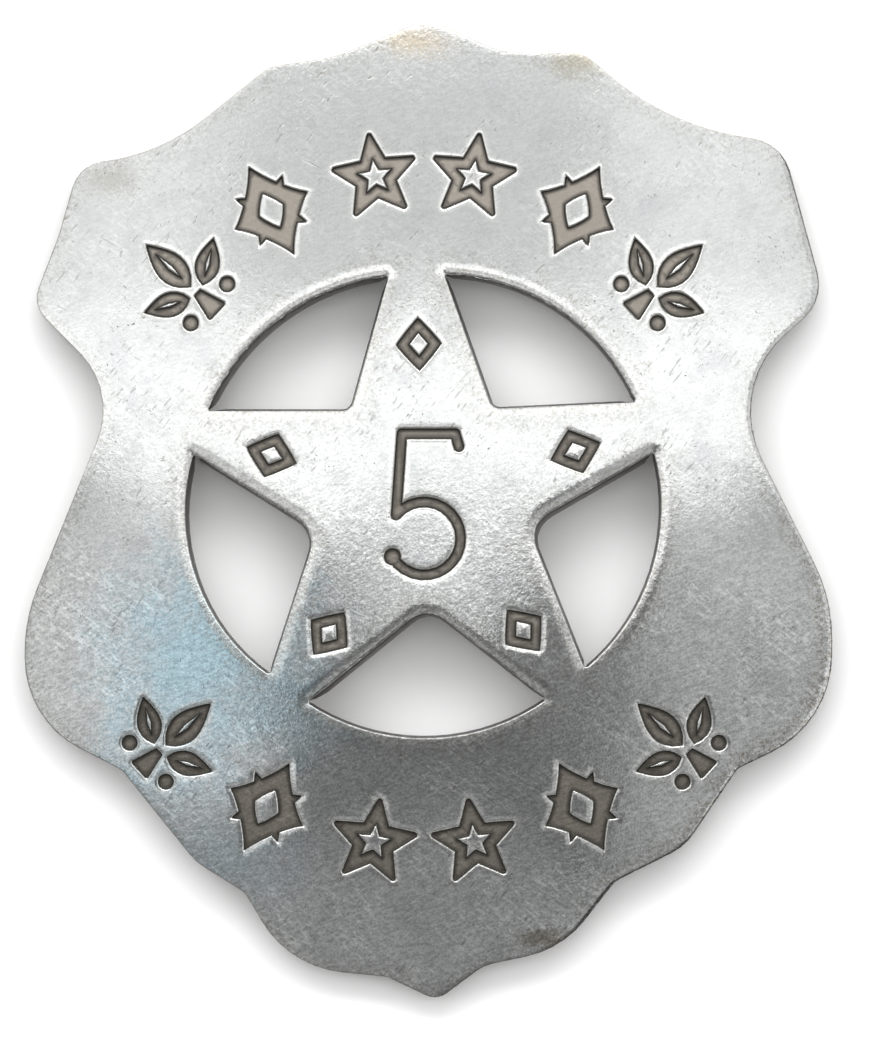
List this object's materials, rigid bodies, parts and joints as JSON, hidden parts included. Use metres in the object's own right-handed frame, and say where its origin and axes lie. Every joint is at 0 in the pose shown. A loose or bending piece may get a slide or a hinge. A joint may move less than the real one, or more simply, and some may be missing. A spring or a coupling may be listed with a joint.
{
  "type": "police badge",
  "caption": "Domed metal shield badge with a scalloped edge, cut through around a star, with stamped ornaments and a straight pin behind it.",
  "frame": {"origin": "on the surface that the badge rests on, under the middle of its outline", "axes": "+Z out of the badge's face, +Y towards its top tip, +X to the right as it is read"},
  "size_m": [0.0572, 0.0691, 0.006],
  "materials": {
    "plate_metal": "worn satin nickel silver with dark tarnish in the stamped marks",
    "pin_metal": "dull nickel silver, tarnished round the solder"
  },
  "bodies": {
    "root": {"badge_plate": "plate_metal", "back_pin": "pin_metal"}
  },
  "joints": []
}
